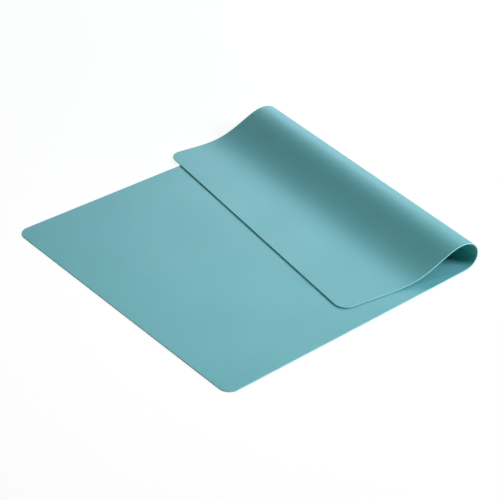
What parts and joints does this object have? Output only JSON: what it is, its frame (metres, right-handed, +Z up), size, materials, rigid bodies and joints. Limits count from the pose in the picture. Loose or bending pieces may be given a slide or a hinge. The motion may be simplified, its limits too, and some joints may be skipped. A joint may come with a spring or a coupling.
{
  "type": "silicone counter mat",
  "caption": "Large plain rectangular silicone mat with rounded corners, lying flat with one end folded back over itself in a soft open loop.",
  "frame": {"origin": "on the counter, under the middle of the folded mat's bounding box, on the base panel's underside", "axes": "+Z up from the counter, +X along the mat's length from the base panel's free end towards the loop, +Y along its width; the mat's edges run exactly along X and Y, and the fold's line is 4.4 degrees off Y"},
  "size_m": [0.4396, 0.4264, 0.0383],
  "materials": {
    "silicone": "smooth matte silicone, dusty teal, one colour right through"
  },
  "bodies": {
    "base": {"base_panel": "silicone"},
    "strip_1": {"fold_strip_1": "silicone"},
    "strip_2": {"fold_strip_2": "silicone"},
    "strip_3": {"fold_strip_3": "silicone"},
    "strip_4": {"fold_strip_4": "silicone"},
    "strip_5": {"fold_strip_5": "silicone"},
    "strip_6": {"fold_strip_6": "silicone"},
    "strip_7": {"fold_strip_7": "silicone"},
    "flap": {"flap_panel": "silicone"}
  },
  "joints": [
    {"name": "bend_1", "type": "hinge", "parent": "base", "child": "strip_1", "pos_m": [0.17696, -0.01324, 0.00075], "axis": [0.0767, 0.9971, 0], "range_deg": [0, 12.7]},
    {"name": "bend_2", "type": "hinge", "parent": "strip_1", "child": "strip_2", "pos_m": [0.19775, -0.01316, 0.00542], "axis": [0.0767, 0.9971, 0], "range_deg": [0, 52.02]},
    {"name": "bend_3", "type": "hinge", "parent": "strip_2", "child": "strip_3", "pos_m": [0.20366, -0.01252, 0.0178], "axis": [0.0767, 0.9971, 0], "range_deg": [0, 50.12]},
    {"name": "bend_4", "type": "hinge", "parent": "strip_3", "child": "strip_4", "pos_m": [0.19743, -0.01085, 0.0315], "axis": [0.0767, 0.9971, 0], "range_deg": [0, 44.77]},
    {"name": "bend_5", "type": "hinge", "parent": "strip_4", "child": "strip_5", "pos_m": [0.18125, -0.00823, 0.03756], "axis": [0.0767, 0.9971, 0], "range_deg": [0, 37.65]},
    {"name": "bend_6", "type": "hinge", "parent": "strip_5", "child": "strip_6", "pos_m": [0.15772, -0.00447, 0.03018], "axis": [0.0767, 0.9971, 0], "range_deg": [0, 10.12]},
    {"name": "bend_7", "type": "hinge", "parent": "strip_6", "child": "strip_7", "pos_m": [0.11406, 0.00273, 0.00734], "axis": [0.0767, 0.9971, 0], "range_deg": [-21.75, 0]},
    {"name": "bend_flap", "type": "hinge", "parent": "strip_7", "child": "flap", "pos_m": [0.06599, 0.0102, 0.00255], "axis": [0.0767, 0.9971, 0], "range_deg": [-5.64, 0]}
  ],
  "couplings": [
    {"joint": "bend_2", "follows": "bend_1", "ratio": 4.0954},
    {"joint": "bend_3", "follows": "bend_1", "ratio": 3.9458},
    {"joint": "bend_4", "follows": "bend_1", "ratio": 3.5247},
    {"joint": "bend_5", "follows": "bend_1", "ratio": 2.9638},
    {"joint": "bend_6", "follows": "bend_1", "ratio": 0.7967},
    {"joint": "bend_7", "follows": "bend_1", "ratio": -1.712},
    {"joint": "bend_flap", "follows": "bend_1", "ratio": -0.44418}
  ]
}
